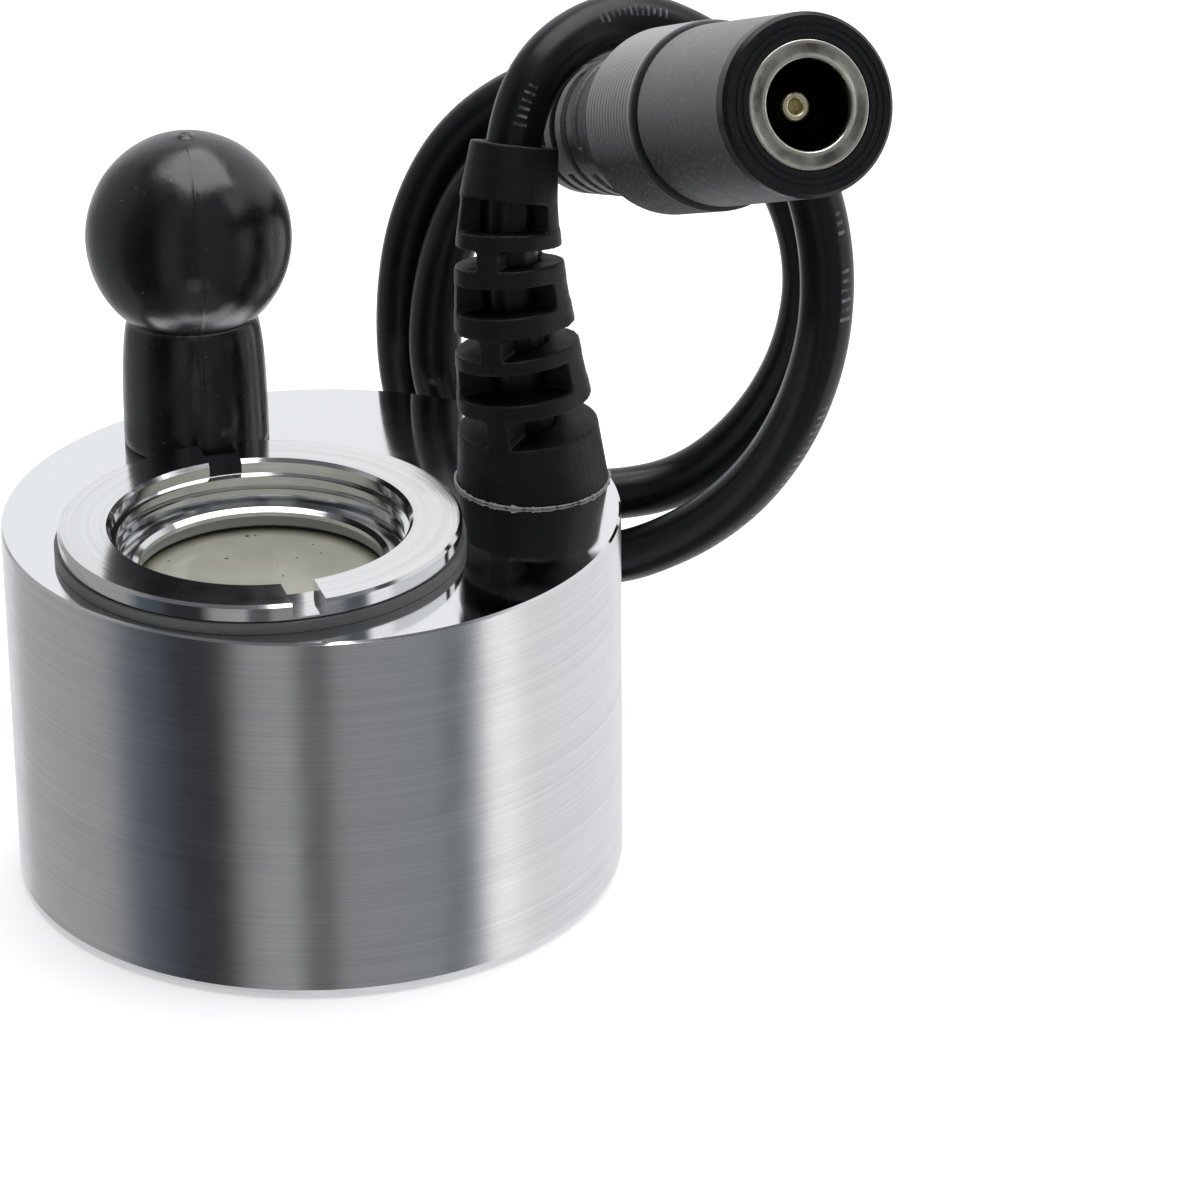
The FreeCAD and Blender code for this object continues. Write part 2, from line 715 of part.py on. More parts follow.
def strain_relief():
    """A ribbed rubber boot: rings on a curved axis, joined by webs that change sides at each gap."""
    edges = [-1.0] + [edge for gap in BOOT_GAPS for edge in gap] + [BOOT_LENGTH]
    pieces = []
    for low, high in zip(edges[::2], edges[1::2]):
        pieces.append(on_boot(boot_slice(low, high), (low + high) / 2))
    for i, gap in enumerate(BOOT_GAPS):
        low, high = gap[0] - BOOT_LAP, gap[1] + BOOT_LAP
        webs = side_webs(low, high) if i % 2 else cross_web(low, high)
        pieces += [on_boot(web, (low + high) / 2) for web in webs]
    spigot = cylinder(SPIGOT_R, DECK_UNDER - 1.4, BODY_H + 0.5, CABLE_CENTRE)
    boot = joined(pieces).cut(block((0, 0, BODY_H + SLIP - 10), (90, 90, 20)))
    boot = boot.fuse(spigot).cut(lead_in(BOOT_BORE_R, 6.0))
    mouth = Part.makeCone(1.5, 2.4, 1.8, Vector(0, 0, -1.8))
    return boot.cut(on_boot(mouth, BOOT_LENGTH))


def lead_in(radius, beyond=0.0):
    """The cable's own path: up through the deck, then along the boot's curved axis."""
    steps = [boot_point(LEAD_IN_SHARE * i / 5) for i in range(6)]
    last = (steps[-1] - steps[-2]).normalize()
    steps[-1] = steps[-1] + last * beyond
    return wire_tube([Vector(BOOT_BASE.x, BOOT_BASE.y, DECK_UNDER - 3.0)] + steps, radius)


def cable_lead_in():
    return lead_in(CORD_R)


def cable_clamp():
    return tube(3.15, SPIGOT_R + 0.02, DECK_UNDER - 1.3, DECK_UNDER, CABLE_CENTRE)


def cord_wires():
    """The lead's two cores, from the end of its sheath down to the board."""
    top = DECK_UNDER - 3.0
    wires = []
    for side in (-1, 1):
        x = BOOT_BASE.x + 0.75 * side
        foot_x = BOOT_BASE.x - 1.4 + 1.3 * side
        points = [
            Vector(x, BOOT_BASE.y, top), Vector(x, BOOT_BASE.y, top - 4.0),
            Vector(foot_x, BOOT_BASE.y + 2.0, top - 8.5), Vector(foot_x, BOOT_BASE.y + 2.0, BOARD_TOP),
        ]
        wires.append(wire_tube(points, 0.55))
    return group(wires)


def cord():
    points = [Vector(*point) for point in CORD_ROUTE]
    for before, corner, after in zip(points, points[1:], points[2:]):
        radius, _ = arc_radius(before, corner, after)
        print(f"cord arc {radius:.1f} mm, {radius / CORD_D:.1f} diameters")
    path = run_and_arc_path(points)
    solid = wire_tube(points, CORD_R)
    expected = math.pi * CORD_R**2 * path.Length
    print(f"cord length {path.Length:.1f} mm, volume {solid.Volume / expected:.4f} of section x length")
    return solid


# ---------------------------------------------------------------- inline jack


def placed_jack(shape):
    """Jack pieces are built from the face at z = 0 back towards the tail at z = JACK_LENGTH."""
    return aimed(shape, JACK_FACE, JACK_AXIS * -1)


def jack_front():
    """The moulded face, with fine rings round the socket."""
    inner = JACK_SLEEVE_R + 0.02
    profile = [(inner, 0), (4.5, 0), (4.5, 0.08), (4.7, 0.08), (4.7, 0), (4.95, 0), (4.95, 0.08)]
    profile += [(5.15, 0.08), (5.15, 0), (5.6, 0), (BARREL_R, 0.25), (BARREL_R, FRONT_T)]
    profile.append((inner, FRONT_T))
    return placed_jack(turned(profile))


def jack_barrel():
    inner = JACK_SLEEVE_R + 0.02
    return placed_jack(
        turned(
            [
                (inner, FRONT_T), (BARREL_R, FRONT_T), (BARREL_R + 0.1, BARREL_END - 0.2),
                (BARREL_R - 0.1, BARREL_END), (inner, BARREL_END),
            ]
        )
    )


def jack_collar():
    """The grip: a dark groove, then fine ridges all the way round."""
    inner = 4.6
    first = BARREL_END + 0.7
    pitch = (COLLAR_END - 0.4 - first) / COLLAR_RIDGES
    profile = [(inner, BARREL_END), (COLLAR_R - 0.6, BARREL_END), (COLLAR_R - 0.6, first)]
    for i in range(COLLAR_RIDGES):
        low = first + pitch * i
        profile.append((COLLAR_R, low + 0.05))
        profile.append((COLLAR_R, low + 0.55 * pitch))
        profile.append((COLLAR_R - 0.22, low + 0.65 * pitch))
        profile.append((COLLAR_R - 0.22, low + 0.95 * pitch))
    profile += [(COLLAR_R - 0.3, COLLAR_END), (inner, COLLAR_END)]
    return placed_jack(turned(profile))


def jack_tail():
    """The tapered strain relief behind the grip, cut by slots on alternate sides."""
    taper = (TAIL_R - TAIL_END_R) / (JACK_LENGTH - COLLAR_END)

    def radius(z):
        return TAIL_R - taper * (z - COLLAR_END)

    end = JACK_LENGTH
    tail = turned(
        [
            (0, COLLAR_END), (radius(COLLAR_END), COLLAR_END), (radius(end - 0.8), end - 0.8),
            (radius(end) - 0.8, end), (0, end),
        ]
    )
    for i in range(5):
        middle = COLLAR_END + 2.2 + 2.5 * i
        slot = tube(10, 2.6, middle - 0.5, middle + 0.5)
        web = block((0, 0, middle), (20, 1.8, 2)) if i % 2 else block((0, 0, middle), (1.8, 20, 2))
        tail = tail.cut(slot.cut(web))
    return placed_jack(tail)


def jack_sleeve():
    """The outer contact that the plug's sleeve slides into."""
    return placed_jack(
        turned(
            [
                (JACK_BORE_R + 0.2, 0), (JACK_SLEEVE_R, 0), (JACK_SLEEVE_R, JACK_CAVITY + 1.5),
                (JACK_BORE_R, JACK_CAVITY + 1.5), (JACK_BORE_R, 0.2),
            ]
        )
    )


def jack_insulator():
    plug = turned(
        [
            (0, JACK_CAVITY), (JACK_BORE_R - 0.02, JACK_CAVITY), (JACK_BORE_R - 0.02, JACK_CAVITY + 1.5),
            (JACK_SLEEVE_R, JACK_CAVITY + 1.52), (JACK_SLEEVE_R, BARREL_END),
            (4.55, BARREL_END + 0.02), (4.55, COLLAR_END - 0.02), (0, COLLAR_END - 0.02),
        ]
    )
    return placed_jack(plug.cut(cylinder(JACK_PIN_ROOT_R + 0.01, JACK_CAVITY - 1, JACK_CAVITY + 3.6)))


def jack_pin():
    """The centre contact: a hollow pin with a rounded tip."""
    tip = JACK_PIN_BACK
    pin = turned(
        [
            (0.35, tip), (JACK_PIN_R - 0.3, tip), (JACK_PIN_R, tip + 0.4),
            (JACK_PIN_R, JACK_CAVITY), (JACK_PIN_ROOT_R, JACK_CAVITY),
            (JACK_PIN_ROOT_R, JACK_CAVITY + 3.5), (0, JACK_CAVITY + 3.5), (0, tip + 1.5), (0.35, tip + 1.5),
        ]
    )
    return placed_jack(pin)


SUB_PARTS = [
    housing_shell, bottom_cover, bottom_seal, cover_screws,
    lock_ring, flange_gasket, disc_seal, ceramic_disc, centre_electrode, rim_electrode,
    contact_carrier, contact_spring, rim_contact,
    circuit_board, board_standoffs, board_screws, power_transistor, heat_tab, coil_core,
    coil_winding, film_capacitors, electrolytic_capacitor, resistors, trimmer, reverse_diode,
    disc_leads,
    sensor_cap, sensor_stem, sensor_nut, sensor_washer, sensor_probe, sensor_lead,
    strain_relief, cable_lead_in, cable_clamp, cord_wires, cord,
    jack_front, jack_barrel, jack_collar, jack_tail, jack_sleeve, jack_insulator, jack_pin,
]

os.makedirs("parts", exist_ok=True)
for build in SUB_PARTS:
    save(build.__name__, build())
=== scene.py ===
import bpy
import json
import math
from mathutils import Matrix, Vector, noise


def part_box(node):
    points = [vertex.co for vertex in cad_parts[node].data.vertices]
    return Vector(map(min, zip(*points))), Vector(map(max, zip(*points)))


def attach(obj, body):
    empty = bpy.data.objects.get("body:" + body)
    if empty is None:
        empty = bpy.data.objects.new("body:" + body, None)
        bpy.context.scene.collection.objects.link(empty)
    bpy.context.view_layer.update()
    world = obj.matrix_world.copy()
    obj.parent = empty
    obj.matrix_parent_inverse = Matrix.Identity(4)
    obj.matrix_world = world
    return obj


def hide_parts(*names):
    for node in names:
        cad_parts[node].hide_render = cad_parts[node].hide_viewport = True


# Looks for an ultrasonic mist maker: a chromed puck with a key-turned lock ring, a rubber water
# sensor, a ribbed cable boot and a short coiled lead to an inline jack. Shapes are worked out in
# millimetres and scaled by MM where they become meshes.

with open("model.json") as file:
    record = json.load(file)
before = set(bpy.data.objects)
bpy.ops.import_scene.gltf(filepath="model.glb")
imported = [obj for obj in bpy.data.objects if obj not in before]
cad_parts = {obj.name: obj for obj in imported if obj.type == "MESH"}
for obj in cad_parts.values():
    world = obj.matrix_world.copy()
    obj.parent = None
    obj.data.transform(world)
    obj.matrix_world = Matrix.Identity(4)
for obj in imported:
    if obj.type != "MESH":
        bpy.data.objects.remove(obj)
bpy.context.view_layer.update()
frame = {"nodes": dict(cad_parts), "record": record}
NODES = frame["nodes"]
MM = 0.001

# ---------------------------------------------------------------- camera

CAMERA_AT = Vector((0.019538, -0.321802, 0.171781))
CAMERA_DOWN = math.radians(25.248)
CAMERA_ROLL = math.radians(0.336)
CAMERA_LENS = 156.16
CAMERA_SENSOR = 36.0


def add_camera():
    data = bpy.data.cameras.new("camera")
    data.lens = CAMERA_LENS
    data.sensor_width = CAMERA_SENSOR
    data.clip_start = 0.01
    camera = bpy.data.objects.new("camera", data)
    tilt = Matrix.Rotation(math.pi / 2 - CAMERA_DOWN, 4, "X")
    roll = Matrix.Rotation(-CAMERA_ROLL, 4, "Z")
    camera.matrix_world = Matrix.Translation(CAMERA_AT) @ tilt @ roll
    bpy.context.scene.collection.objects.link(camera)
    bpy.context.scene.camera = camera


# ---------------------------------------------------------------- measures taken from the frame


def middle(node):
    low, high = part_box(node)
    return (low + high) / 2


DECK_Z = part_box("housing_shell")[1].z / MM
RING_AXIS = middle("lock_ring")
SENSOR_AXIS = middle("sensor_washer")
CORD_D = 3.8
CORD_LENGTH = 0.223

# The jack's pieces are turned about its own axis, from its face back towards its tail, and their
# places along it are in millimetres from the face.
JACK_FACE = Vector((0.0328, -0.015, 0.0605))
JACK_BACK = Vector((-0.373, 0.856, -0.358)).normalized()
JACK_TURN = JACK_BACK.to_track_quat("Z", "Y")
GRIP_FRONT, GRIP_BACK = 14.0, 22.5
GRIP_R = 6.25
SOCKET_INNER, SOCKET_OUTER = 2.9, 4.15

# The middle of the boot's foot, on the deck.
BOOT_FOOT = Vector((0.01493, 0.005, 0.0262))

# The cord's route: out of the boot, two loose turns, into the jack's tail.
CORD_ROUTE = [
    (0.013683, 0.007595, 0.047125), (0.013831, 0.008515, 0.050499), (0.0159, 0.0107, 0.0546),
    (0.0201, 0.0143, 0.0562), (0.0242, 0.0158, 0.0553), (0.0293, 0.016, 0.052),
    (0.0333, 0.0154, 0.0468), (0.0354, 0.0146, 0.0402), (0.0355, 0.0144, 0.0332),
    (0.0338, 0.016, 0.026), (0.0306, 0.0186, 0.0194), (0.0258, 0.0214, 0.0142),
    (0.0196, 0.0239, 0.0108), (0.0129, 0.0259, 0.0118), (0.0079, 0.027, 0.0164),
    (0.0055, 0.0274, 0.023), (0.0052, 0.0279, 0.03), (0.0063, 0.0292, 0.0364),
    (0.0094, 0.0306, 0.0418), (0.0148, 0.0314, 0.0454), (0.0214, 0.0313, 0.0466),
    (0.0279, 0.0303, 0.0446), (0.0328, 0.0289, 0.0398), (0.035, 0.0278, 0.0332),
    (0.0342, 0.0274, 0.0264), (0.031, 0.0276, 0.0202), (0.026, 0.0276, 0.0158),
    (0.02, 0.0266, 0.015), (0.0142, 0.0246, 0.0166), (0.0099, 0.023, 0.0206),
    (0.0077, 0.0228, 0.0264), (0.008, 0.024, 0.0326), (0.0098, 0.0266, 0.038),
    (0.0132, 0.027, 0.042), (0.01691, 0.02147, 0.04525), (0.01863, 0.01753, 0.0469),
]

# ---------------------------------------------------------------- material building


class Nodes:
    """A node tree, with short calls for the nodes used here."""

    # A colour mix keeps its two colours and its result in these sockets.
    MIX_A, MIX_B, MIX_RESULT = 6, 7, 2

    def __init__(self, tree):
        self.tree = tree

    def feed(self, socket, value):
        if isinstance(value, bpy.types.NodeSocket):
            self.tree.links.new(value, socket)
        else:
            socket.default_value = value

    def node(self, kind, inputs, output=0, **settings):
        node = self.tree.nodes.new(kind)
        for name, value in settings.items():
            setattr(node, name, value)
        for socket, value in inputs.items():
            self.feed(node.inputs[socket], value)
        return node.outputs[output]

    def math(self, operation, a, b=0.0):
        return self.node("ShaderNodeMath", {0: a, 1: b}, operation=operation)

    def span(self, value, low, high, to_low=0.0, to_high=1.0):
        """value from low..high, clamped, onto to_low..to_high."""
        return self.node("ShaderNodeMapRange", {0: value, 1: low, 2: high, 3: to_low, 4: to_high})

    def both(self, a, b):
        """The overlap of two masks."""
        return self.math("MULTIPLY", a, b)

    def mix(self, share, a, b):
        """A colour between the colours a and b."""
        inputs = {0: share, self.MIX_A: (*a, 1) if isinstance(a, tuple) else a}
        inputs[self.MIX_B] = (*b, 1) if isinstance(b, tuple) else b
        return self.node("ShaderNodeMix", inputs, output=self.MIX_RESULT, data_type="RGBA")

    def blend(self, share, a, b):
        """A number between the numbers a and b."""
        return self.node("ShaderNodeMix", {0: share, 2: a, 3: b}, data_type="FLOAT")

    def split(self, vector):
        """The x, y and z of a vector."""
        parts = self.tree.nodes.new("ShaderNodeSeparateXYZ")
        self.feed(parts.inputs[0], vector)
        return parts.outputs


class Graph(Nodes):
    """A procedural material on one Principled shader."""

    def __init__(self, name, colour, roughness, metallic=0.0, **sockets):
        self.material = bpy.data.materials.new(name)
        self.material.use_nodes = True
        self.material.diffuse_color = (*colour, 1)
        super().__init__(self.material.node_tree)
        self.shader = self.tree.nodes["Principled BSDF"]
        self.set("Base Color", (*colour, 1))
        self.set("Roughness", roughness)
        self.set("Metallic", metallic)
        for socket, value in sockets.items():
            self.set(socket.replace("_", " "), value)

    def set(self, socket, value):
        self.feed(self.shader.inputs[socket], value)

    def noise(self, vector, scale, detail=2.0, roughness=0.5):
        inputs = {"Vector": vector, "Scale": scale, "Detail": detail, "Roughness": roughness}
        return self.node("ShaderNodeTexNoise", inputs)

    def chance(self, number):
        """A value from 0 to 1 that is fixed for each number."""
        return self.node("ShaderNodeTexWhiteNoise", {"W": number}, noise_dimensions="1D")

    def local(self, origin=(0, 0, 0), turn=None):
        """Places in millimetres from origin, turned so that the piece's axis is Z."""
        angles = tuple(turn.to_euler()) if turn else (0, 0, 0)
        inputs = {
            "Vector": self.node("ShaderNodeTexCoord", {}, output="Object"),
            "Location": tuple(origin),
            "Rotation": angles,
            "Scale": (MM, MM, MM),
        }
        return self.node("ShaderNodeMapping", inputs, vector_type="TEXTURE")

    def round_axis(self, vector):
        """(radius, angle, height) about the local Z axis, in millimetres and radians."""
        x, y, z = self.split(vector)
        squares = self.math("ADD", self.math("MULTIPLY", x, x), self.math("MULTIPLY", y, y))
        return self.math("SQRT", squares), self.math("ARCTAN2", y, x), z

    def vector(self, x, y, z):
        return self.node("ShaderNodeCombineXYZ", {0: x, 1: y, 2: z})

    def tool_marks(self, place, lines):
        """Fine lines round the local Z axis, about that many to the millimetre."""
        waver = 0.7
        radius, angle, height = self.round_axis(place)
        ring = self.vector(
            self.math("MULTIPLY", self.math("COSINE", angle), waver),
            self.math("MULTIPLY", self.math("SINE", angle), waver),
            self.math("MULTIPLY", self.math("ADD", radius, height), lines),
        )
        return self.noise(ring, 1.0, 3.0, 0.6)

    def bump(self, height, depth_mm, strength=1.0):
        """Relief that deep in millimetres, on top of any relief made before."""
        inputs = {"Height": height, "Distance": depth_mm * MM, "Strength": strength}
        normal = self.tree.nodes.new("ShaderNodeBump")
        for socket, value in inputs.items():
            self.feed(normal.inputs[socket], value)
        before = self.shader.inputs["Normal"]
        if before.is_linked:
            self.feed(normal.inputs["Normal"], before.links[0].from_socket)
        self.set("Normal", normal.outputs[0])

    def brush_round(self):
        """The highlights drawn out round the object's Z axis."""
        self.set("Tangent", self.node("ShaderNodeTangent", {}, direction_type="RADIAL", axis="Z"))


def machined(name, colour, roughness, lines, depth, origin=(0, 0, 0), turn=None, anisotropy=0.0):
    """Turned metal: fine tool marks round the axis, uneven polish and a few faint stains."""
    graph = Graph(name, colour, roughness, 1.0, Anisotropic=anisotropy, Anisotropic_Rotation=0.25)
    place = graph.local(origin, turn)
    marks = graph.tool_marks(place, lines)
    polish = graph.noise(place, 0.35, 3.0)
    graph.set("Roughness", graph.span(polish, 0.3, 0.7, roughness * 0.8, roughness * 1.25))
    darker = tuple(0.86 * c for c in colour)
    graph.set("Base Color", graph.mix(graph.span(marks, 0.25, 0.6), darker, colour))
    graph.bump(marks, depth)
    if anisotropy:
        graph.brush_round()
    return graph


def moulded(name, colour, roughness, grain, depth, lighter=0.3, metallic=0.0, **sockets):
    """Moulded or coated stuff: a fine grain, blotchy gloss and a little dust-grey variation."""
    graph = Graph(name, colour, roughness, metallic, **sockets)
    place = graph.local()
    fine = graph.noise(place, grain, 4.0, 0.6)
    broad = graph.noise(place, 0.5, 3.0)
    graph.set("Roughness", graph.span(broad, 0.3, 0.7, roughness * 0.85, min(roughness * 1.2, 1.0)))
    pale = tuple(c + (1 - c) * 0.1 * lighter for c in colour)
    graph.set("Base Color", graph.mix(graph.span(fine, 0.35, 0.75), colour, pale))
    graph.bump(fine, depth)
    return graph


# ---------------------------------------------------------------- the object's materials

DEEP_BLACK = (0.004, 0.004, 0.0045)


def puck_chrome():
    """A side brushed round the puck and a deck polished to a mirror."""
    colour = (0.82, 0.83, 0.845)
    graph = Graph("puck_chrome", colour, 0.3, 1.0, Anisotropic=0.85, Anisotropic_Rotation=0.25)
    place = graph.local()
    height = graph.round_axis(place)[2]
    side_top, deck_from = DECK_Z - 0.16, DECK_Z - 0.14
    on_side = graph.span(height, side_top, deck_from, 1.0, 0.0)
    marks = graph.tool_marks(place, 9.0)
    polish = graph.noise(place, 0.3, 3.0)
    side = graph.span(polish, 0.3, 0.7, 0.26, 0.33)
    deck = graph.span(polish, 0.3, 0.7, 0.045, 0.08)
    graph.set("Roughness", graph.blend(on_side, deck, side))
    stain = graph.both(graph.span(marks, 0.6, 0.3), on_side)
    graph.set("Base Color", graph.mix(stain, colour, (0.70, 0.71, 0.73)))
    share = graph.span(on_side, 0.0, 1.0, 0.06, 1.0)
    graph.bump(marks, 0.001, share)
    graph.brush_round()
    return graph.material


def ring_chrome():
    """Chrome over a coarse facing cut, so a few tool rings still show."""
    graph = machined("ring_chrome", (0.80, 0.81, 0.82), 0.1, 4.0, 0.0014, RING_AXIS, anisotropy=0.5)
    graph.bump(graph.tool_marks(graph.local(RING_AXIS), 1.6), 0.0055)
    return graph.material


def gasket_rubber():
    return moulded("gasket_rubber", (0.10, 0.10, 0.102), 0.42, 6.0, 0.004).material


def glazed_ceramic():
    """A greenish-grey glaze with small dark specks, and painted shadow darkening it towards the ring.
    """
    colour = (0.38, 0.38, 0.32)
    graph = Graph("glazed_ceramic", colour, 0.2, Specular_IOR_Level=0.6)
    place = graph.local(RING_AXIS)
    broad = graph.noise(place, 0.3, 3.0)
    tone = graph.mix(graph.span(broad, 0.3, 0.7), colour, (0.45, 0.45, 0.385))
    specks = graph.span(graph.noise(place, 1.7, 1.0), 0.73, 0.76)
    radius = graph.round_axis(place)[0]
    # Painted shadow: the glaze turns dark olive towards the ring, where the gap under the seal is in
    # shadow.
    shade_from, shade_full = 7.4, 8.6
    tone = graph.mix(graph.span(radius, shade_from, shade_full), tone, (0.10, 0.10, 0.06))
    graph.set("Base Color", graph.mix(specks, tone, (0.08, 0.075, 0.06)))
    graph.bump(graph.noise(place, 2.0, 3.0), 0.003)
    return graph.material


def pale_silicone():
    colour = (0.46, 0.46, 0.43)
    return moulded("pale_silicone", colour, 0.35, 3.0, 0.004, Subsurface_Weight=0.1).material


def sensor_rubber():
    """Semi-gloss black rubber, handled smooth, with soft dull patches and a few dust specks."""
    graph = moulded("sensor_rubber", DEEP_BLACK, 0.3, 5.0, 0.004, 0.1, Specular_IOR_Level=0.7)
    place = graph.local(SENSOR_AXIS)
    patches = graph.span(graph.noise(place, 0.28, 4.0, 0.6), 0.35, 0.65, 0.17, 0.34)
    graph.set("Roughness", patches)
    dust = graph.span(graph.noise(place, 3.1, 1.0), 0.78, 0.8)
    graph.set("Base Color", graph.mix(dust, DEEP_BLACK, (0.10, 0.10, 0.10)))
    graph.bump(graph.noise(place, 0.8, 2.0), 0.02)
    return graph.material


def boot_rubber():
    """Matt black rubber with a fine spark-eroded grain."""
    black = (0.004, 0.004, 0.0043)
    return moulded("boot_rubber", black, 0.44, 5.0, 0.035, 0.06, Specular_IOR_Level=0.3).material


def cable_sheath():
    """Semi-gloss black sheath with worn runs of generic printed ticks along one side."""
    tick_pitch, tick_share = 0.62, 0.36
    ticks_in_group, ticks_in_run = 3, 12
    print_at, print_half = 0.24, 0.042
    graph = moulded("cable_sheath", DEEP_BLACK, 0.3, 1.5, 0.01, 0.1, Specular_IOR_Level=0.36)
    along, across, _ = graph.split(graph.node("ShaderNodeTexCoord", {}, output="UV"))
    ticks = graph.math("MULTIPLY", along, CORD_LENGTH / MM / tick_pitch)
    group = graph.math("FLOOR", graph.math("DIVIDE", ticks, ticks_in_group))
    run = graph.math("FLOOR", graph.math("DIVIDE", ticks, ticks_in_run))
    height = graph.chance(graph.math("FLOOR", ticks))
    reach = graph.span(height, 0.0, 1.0, 0.35 * print_half, print_half)
    off_line = graph.math("ABSOLUTE", graph.math("SUBTRACT", across, print_at))
    mark = graph.math("LESS_THAN", graph.math("FRACT", ticks), tick_share)
    mark = graph.both(mark, graph.math("GREATER_THAN", graph.chance(group), 0.35))
    mark = graph.both(mark, graph.math("GREATER_THAN", graph.chance(run), 0.5))
    mark = graph.both(mark, graph.math("LESS_THAN", off_line, reach))
    worn = graph.span(graph.noise(graph.local(), 1.6, 3.0), 0.38, 0.62, 0.08, 0.6)
    graph.set("Base Color", graph.mix(graph.both(mark, worn), DEEP_BLACK, (0.22, 0.22, 0.23)))
    return graph.material


def satin_black():
    """The jack's satin shell: a dry grain over dark grey plastic, with painted light on the side that
    faces up, painted highlights on the tops of the grip's ridges and painted shade in its grooves.
    """
    grey = (0.02, 0.02, 0.021)
    graph = moulded("satin_black", grey, 0.46, 9.0, 0.02, 0.3, Specular_IOR_Level=1.0)
    place = graph.local()
    graph.set("Roughness", graph.span(graph.noise(place, 1.5, 2.0), 0.3, 0.7, 0.42, 0.5))
    speckle = graph.span(graph.noise(place, 5.0, 2.0), 0.56, 0.7)
    tone = graph.mix(speckle, grey, (0.08, 0.08, 0.085))
    radius, angle, depth = graph.round_axis(graph.local(JACK_FACE, JACK_TURN))
    # Painted light: the side of the shell that faces up is made lighter, as if lit from above.
    painted_top_light = graph.span(graph.math("SINE", angle), -0.35, 0.85)
    painted_lit_tone = graph.mix(speckle, (0.17, 0.17, 0.175), (0.25, 0.25, 0.255))
    tone = graph.mix(painted_top_light, tone, painted_lit_tone)
    past_front = graph.span(depth, GRIP_FRONT + 0.5, GRIP_FRONT + 0.6)
    before_back = graph.span(depth, GRIP_BACK - 0.3, GRIP_BACK - 0.2, 1.0, 0.0)
    on_grip = graph.both(past_front, before_back)
    # Painted highlight: the tops of the grip's ridges on its upper side are made light grey.
    raised = graph.span(radius, GRIP_R - 0.13, GRIP_R - 0.01)
    painted_crest_highlight = graph.both(on_grip, graph.both(painted_top_light, raised))
    tone = graph.mix(painted_crest_highlight, tone, (0.42, 0.42, 0.43))
    # Painted shade: the grip's grooves are made near black.
    painted_groove_shade = graph.both(on_grip, graph.span(radius, GRIP_R - 0.3, GRIP_R - 0.05, 1.0, 0.0))
    graph.set("Base Color", graph.mix(painted_groove_shade, tone, (0.004, 0.004, 0.004)))
    return graph.material


def black_plastic():
    graph = moulded("black_plastic", DEEP_BLACK, 0.3, 5.0, 0.004, 0.1, Specular_IOR_Level=0.35)
    return graph.material


def worn_metal(name, colour, stain, roughness, origin=(0, 0, 0), turn=None):
    """Plating that is dulled in patches."""
    graph = machined(name, colour, roughness, 6.0, 0.002, origin, turn)
    place = graph.local(origin, turn)
    patches = graph.span(graph.noise(place, 0.9, 4.0, 0.65), 0.42, 0.62)
    graph.set("Base Color", graph.mix(patches, colour, stain))
    graph.set("Roughness", graph.span(patches, 0.0, 1.0, roughness, roughness * 1.8))
    return graph


def nickel():
    """Plating dulled on the socket's flat lip, and darkened deeper inside it by painted shade."""
    graph = worn_metal("nickel", (0.82, 0.80, 0.72), (0.58, 0.55, 0.48), 0.25, JACK_FACE, JACK_TURN)
    tone = graph.shader.inputs["Base Color"].links[0].from_socket
    place = graph.local(JACK_FACE, JACK_TURN)
    radius, _, depth = graph.round_axis(place)
    past_inner = graph.span(radius, SOCKET_INNER + 0.25, SOCKET_INNER + 0.4)
    before_outer = graph.span(radius, SOCKET_OUTER - 0.35, SOCKET_OUTER - 0.2, 1.0, 0.0)
    flat = graph.both(past_inner, before_outer)
    dull = graph.span(graph.noise(place, 0.3, 3.0), 0.42, 0.6, 0.9, 0.2)
    tone = graph.mix(graph.both(flat, dull), tone, (0.14, 0.13, 0.11))
    # Painted shade: the plating turns near black deeper inside the socket.
    inside = graph.span(depth, 0.2, 0.7)
    graph.set("Base Color", graph.mix(inside, tone, (0.05, 0.045, 0.035)))
    return graph.material


def pin_brass():
    brass, stain = (0.95, 0.88, 0.66), (0.85, 0.75, 0.50)
    return worn_metal("pin_brass", brass, stain, 0.25, JACK_FACE, JACK_TURN).material


def steel():
    return worn_metal("steel", (0.60, 0.60, 0.60), (0.48, 0.48, 0.49), 0.3).material


def silver_plate():
    return worn_metal("silver_plate", (0.82, 0.81, 0.78), (0.62, 0.60, 0.55), 0.3).material


MATERIALS = {
    "puck_chrome": puck_chrome,
    "ring_chrome": ring_chrome,
    "steel": steel,
    "gasket_rubber": gasket_rubber,
    "glazed_ceramic": glazed_ceramic,
    "pale_silicone": pale_silicone,
    "silver_plate": silver_plate,
    "sensor_rubber": sensor_rubber,
    "boot_rubber": boot_rubber,
    "cable_sheath": cable_sheath,
    "black_plastic": black_plastic,
    "satin_black": satin_black,
    "nickel": nickel,
    "pin_brass": pin_brass,
}

